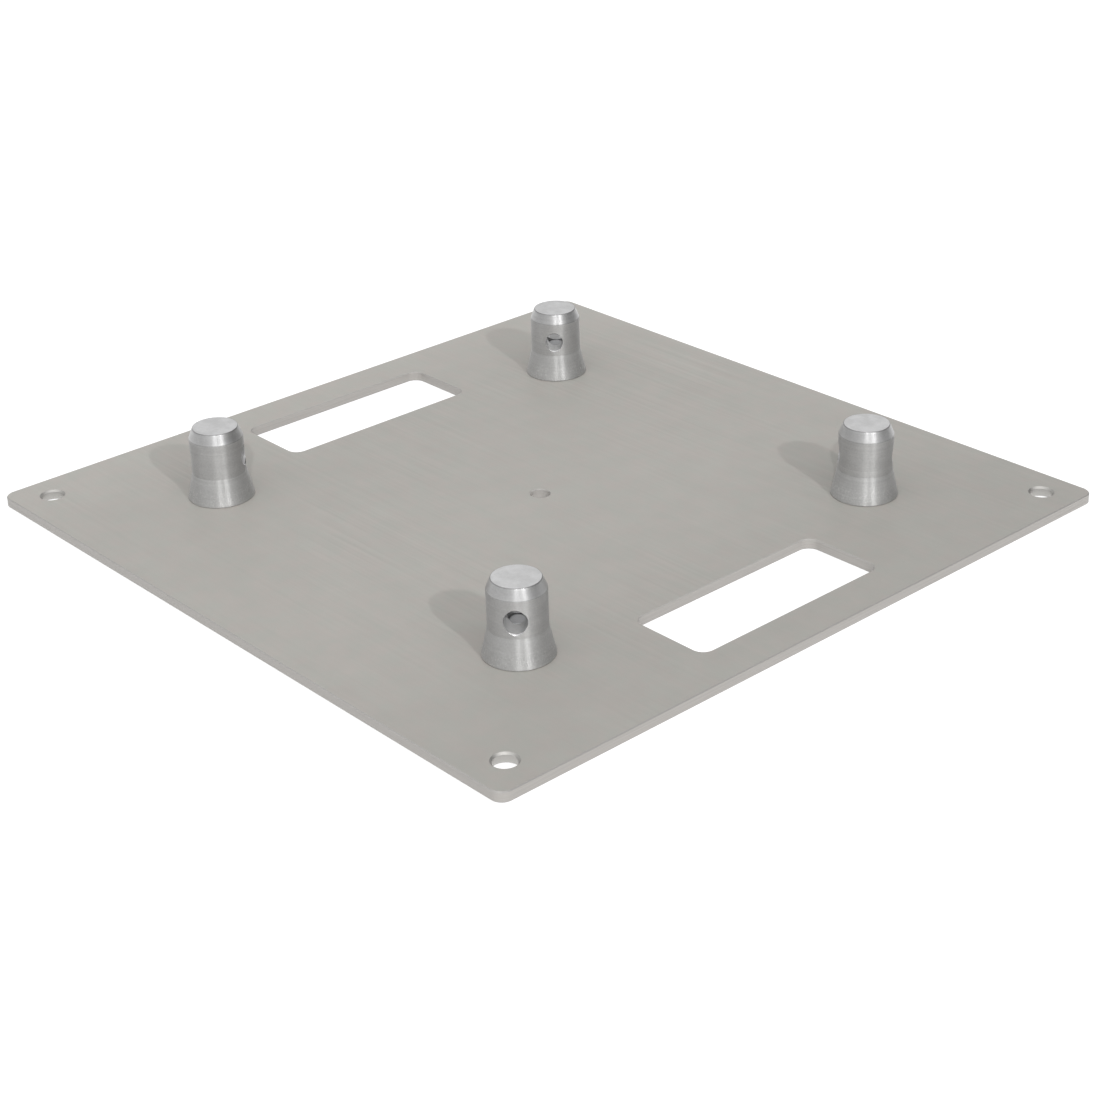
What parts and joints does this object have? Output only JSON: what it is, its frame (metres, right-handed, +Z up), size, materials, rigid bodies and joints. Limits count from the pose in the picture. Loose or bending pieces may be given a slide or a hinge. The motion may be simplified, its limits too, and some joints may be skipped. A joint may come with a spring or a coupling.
{
  "type": "base plate",
  "caption": "Square aluminium truss base plate with hand slots, corner fixing holes and screwed-on turned spigots with tapered cross holes for locking pins.",
  "frame": {"origin": "centre of the plate's underside, where it rests on the floor", "axes": "+Z up, square to the plate; +X towards one hand slot and +Y along the hand slots' long sides"},
  "size_m": [0.4064, 0.4064, 0.045],
  "materials": {
    "plate_aluminium": "mill finish, lightly clouded, with sawn edges",
    "spigot_aluminium": "fine turned, matte",
    "screw_steel": "zinc plated"
  },
  "bodies": {
    "root": {"plate": "plate_aluminium", "spigot_front_left": "spigot_aluminium", "spigot_front_right": "spigot_aluminium", "spigot_back_left": "spigot_aluminium", "spigot_back_right": "spigot_aluminium", "screw_front_left": "screw_steel", "screw_front_right": "screw_steel", "screw_back_left": "screw_steel", "screw_back_right": "screw_steel"}
  },
  "joints": []
}
